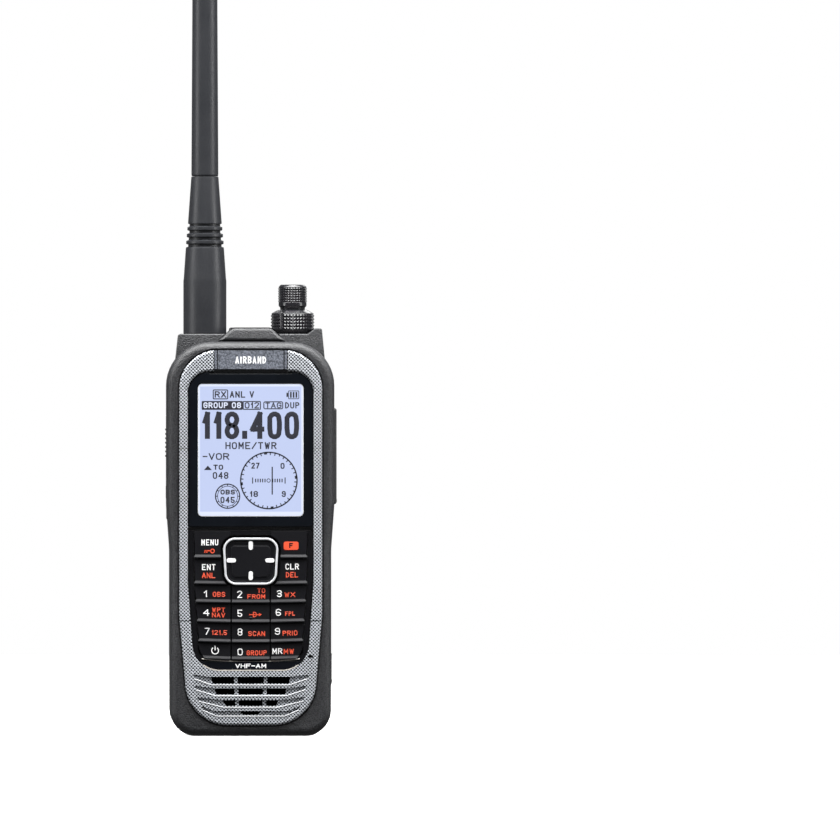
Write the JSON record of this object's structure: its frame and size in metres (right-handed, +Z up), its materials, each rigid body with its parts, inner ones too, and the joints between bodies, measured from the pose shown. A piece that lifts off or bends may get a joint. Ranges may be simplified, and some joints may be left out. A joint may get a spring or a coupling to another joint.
{
  "type": "handheld aviation radio",
  "caption": "Handheld aviation radio: tall body with a screen above a keypad, antenna and stacked knobs on top, clip-on battery behind, side keys and rubber covers over its sockets.",
  "frame": {"origin": "on the flat base that the radio stands on, under the middle of the body's width, inside the front case's lower wall", "axes": "+X to the right as seen from the front, +Y from the front towards the battery, +Z up along the antenna"},
  "size_m": [0.0624, 0.032, 0.347],
  "materials": {
    "case_plastic": "fine-grained charcoal moulding, satin",
    "silver_frame": "fine silver paint over a moulded texture",
    "grey_plate": "brushed grey, satin",
    "window": "gloss smoked pane",
    "screen": "pale blue lit screen",
    "rubber": "matt moulded rubber",
    "antenna_rubber": "satin moulded rubber",
    "key_plastic": "satin black with printed legends",
    "label": "gloss black strip",
    "bright_ring": "polished",
    "knob_plastic": "satin black, knurled",
    "metal": "satin",
    "steel": "satin",
    "brass": "bright",
    "board": "solder-mask green",
    "inner_plastic": "plain black",
    "cells": "printed foil wrap"
  },
  "bodies": {
    "radio": {"front_case": "case_plastic", "rear_case": "case_plastic", "top_cover": "case_plastic", "front_frame": "silver_frame", "head_plate": "grey_plate", "display_window": "window", "label_strip": "label", "case_seal": "rubber", "case_screw_left": "steel", "case_screw_right": "steel", "lcd_module": "screen", "keypad_mat": "rubber", "keypad_board": "board", "rocker_ring": "bright_ring", "main_board": "board", "chassis": "metal", "speaker": "inner_plastic", "speaker_mesh": "rubber", "microphone": "metal", "side_switch_board": "board", "headset_jacks": "inner_plastic", "charge_port": "steel", "terminal_block": "brass", "antenna_socket": "steel", "control_body": "metal", "control_nut": "steel"},
    "antenna_plug": {"antenna_plug": "brass"},
    "antenna": {"antenna_boot": "antenna_rubber", "antenna_whip": "antenna_rubber"},
    "dial": {"dial_knob": "knob_plastic", "dial_shaft": "brass"},
    "volume": {"volume_knob": "knob_plastic", "volume_shaft": "steel"},
    "ptt_key": {"ptt_key": "rubber"},
    "squelch_key": {"squelch_key": "rubber"},
    "light_key": {"light_key": "rubber"},
    "jack_cover": {"jack_cover": "rubber"},
    "port_cover": {"port_cover": "rubber"},
    "rocker_plunger": {"rocker_plunger": "inner_plastic"},
    "rocker_cap": {"rocker_cap": "key_plastic"},
    "battery": {"battery_case": "case_plastic", "battery_lid": "case_plastic", "battery_cells": "cells"},
    "battery_latch": {"battery_latch": "rubber"},
    "key_menu": {"key_menu": "key_plastic"},
    "key_function": {"key_function": "key_plastic"},
    "key_enter": {"key_enter": "key_plastic"},
    "key_clear": {"key_clear": "key_plastic"},
    "key_1": {"key_1": "key_plastic"},
    "key_2": {"key_2": "key_plastic"},
    "key_3": {"key_3": "key_plastic"},
    "key_4": {"key_4": "key_plastic"},
    "key_5": {"key_5": "key_plastic"},
    "key_6": {"key_6": "key_plastic"},
    "key_7": {"key_7": "key_plastic"},
    "key_8": {"key_8": "key_plastic"},
    "key_9": {"key_9": "key_plastic"},
    "key_power": {"key_power": "key_plastic"},
    "key_0": {"key_0": "key_plastic"},
    "key_memory": {"key_memory": "key_plastic"}
  },
  "joints": [
    {"name": "antenna_pull", "type": "slide", "parent": "radio", "child": "antenna_plug", "axis": [0, 0, 1], "range_m": [0, 0.018]},
    {"name": "antenna_turn", "type": "hinge", "parent": "antenna_plug", "child": "antenna", "pos_m": [-0.0164, 0.00365, 0.1467], "axis": [0, 0, 1], "range_deg": [-60, 0]},
    {"name": "dial_turn", "type": "hinge", "parent": "radio", "child": "dial", "pos_m": [0.0156, 0.00365, 0.1467], "axis": [0, 0, 1], "continuous": true},
    {"name": "volume_turn", "type": "hinge", "parent": "radio", "child": "volume", "pos_m": [0.0156, 0.00365, 0.1557], "axis": [0, 0, 1], "range_deg": [-135, 135]},
    {"name": "ptt_press", "type": "slide", "parent": "radio", "child": "ptt_key", "axis": [1, 0, 0], "range_m": [0, 0.0008], "stiffness_N_per_m": 2500},
    {"name": "squelch_press", "type": "slide", "parent": "radio", "child": "squelch_key", "axis": [1, 0, 0], "range_m": [0, 0.0005], "stiffness_N_per_m": 3000},
    {"name": "light_press", "type": "slide", "parent": "radio", "child": "light_key", "axis": [1, 0, 0], "range_m": [0, 0.0005], "stiffness_N_per_m": 3000},
    {"name": "jack_cover_open", "type": "hinge", "parent": "radio", "child": "jack_cover", "pos_m": [0.0311, -0.0042, 0.0847], "axis": [0, 1, 0], "range_deg": [0, 110]},
    {"name": "port_cover_open", "type": "hinge", "parent": "radio", "child": "port_cover", "pos_m": [0.0294, -0.0039, 0.0299], "axis": [0, -1, 0], "range_deg": [0, 110]},
    {"name": "rocker_up_down", "type": "hinge", "parent": "radio", "child": "rocker_plunger", "pos_m": [0, -0.0131, 0.0636], "axis": [1, 0, 0], "range_deg": [-3, 3], "stiffness_Nm_per_rad": 0.2},
    {"name": "rocker_left_right", "type": "hinge", "parent": "rocker_plunger", "child": "rocker_cap", "pos_m": [0, -0.0131, 0.0636], "axis": [0, 0, 1], "range_deg": [-3, 3], "stiffness_Nm_per_rad": 0.2},
    {"name": "battery_off", "type": "slide", "parent": "radio", "child": "battery", "axis": [0, 1, 0], "range_m": [0, 0.03]},
    {"name": "battery_latch_slide", "type": "slide", "parent": "battery", "child": "battery_latch", "axis": [0, 0, 1], "range_m": [0, 0.002], "stiffness_N_per_m": 800},
    {"name": "key_menu_press", "type": "slide", "parent": "radio", "child": "key_menu", "axis": [0, 1, 0], "range_m": [0, 0.0005], "stiffness_N_per_m": 3000},
    {"name": "key_function_press", "type": "slide", "parent": "radio", "child": "key_function", "axis": [0, 1, 0], "range_m": [0, 0.0005], "stiffness_N_per_m": 3000},
    {"name": "key_enter_press", "type": "slide", "parent": "radio", "child": "key_enter", "axis": [0, 1, 0], "range_m": [0, 0.0005], "stiffness_N_per_m": 3000},
    {"name": "key_clear_press", "type": "slide", "parent": "radio", "child": "key_clear", "axis": [0, 1, 0], "range_m": [0, 0.0005], "stiffness_N_per_m": 3000},
    {"name": "key_1_press", "type": "slide", "parent": "radio", "child": "key_1", "axis": [0, 1, 0], "range_m": [0, 0.0005], "stiffness_N_per_m": 3000},
    {"name": "key_2_press", "type": "slide", "parent": "radio", "child": "key_2", "axis": [0, 1, 0], "range_m": [0, 0.0005], "stiffness_N_per_m": 3000},
    {"name": "key_3_press", "type": "slide", "parent": "radio", "child": "key_3", "axis": [0, 1, 0], "range_m": [0, 0.0005], "stiffness_N_per_m": 3000},
    {"name": "key_4_press", "type": "slide", "parent": "radio", "child": "key_4", "axis": [0, 1, 0], "range_m": [0, 0.0005], "stiffness_N_per_m": 3000},
    {"name": "key_5_press", "type": "slide", "parent": "radio", "child": "key_5", "axis": [0, 1, 0], "range_m": [0, 0.0005], "stiffness_N_per_m": 3000},
    {"name": "key_6_press", "type": "slide", "parent": "radio", "child": "key_6", "axis": [0, 1, 0], "range_m": [0, 0.0005], "stiffness_N_per_m": 3000},
    {"name": "key_7_press", "type": "slide", "parent": "radio", "child": "key_7", "axis": [0, 1, 0], "range_m": [0, 0.0005], "stiffness_N_per_m": 3000},
    {"name": "key_8_press", "type": "slide", "parent": "radio", "child": "key_8", "axis": [0, 1, 0], "range_m": [0, 0.0005], "stiffness_N_per_m": 3000},
    {"name": "key_9_press", "type": "slide", "parent": "radio", "child": "key_9", "axis": [0, 1, 0], "range_m": [0, 0.0005], "stiffness_N_per_m": 3000},
    {"name": "key_power_press", "type": "slide", "parent": "radio", "child": "key_power", "axis": [0, 1, 0], "range_m": [0, 0.0005], "stiffness_N_per_m": 3000},
    {"name": "key_0_press", "type": "slide", "parent": "radio", "child": "key_0", "axis": [0, 1, 0], "range_m": [0, 0.0005], "stiffness_N_per_m": 3000},
    {"name": "key_memory_press", "type": "slide", "parent": "radio", "child": "key_memory", "axis": [0, 1, 0], "range_m": [0, 0.0005], "stiffness_N_per_m": 3000}
  ]
}
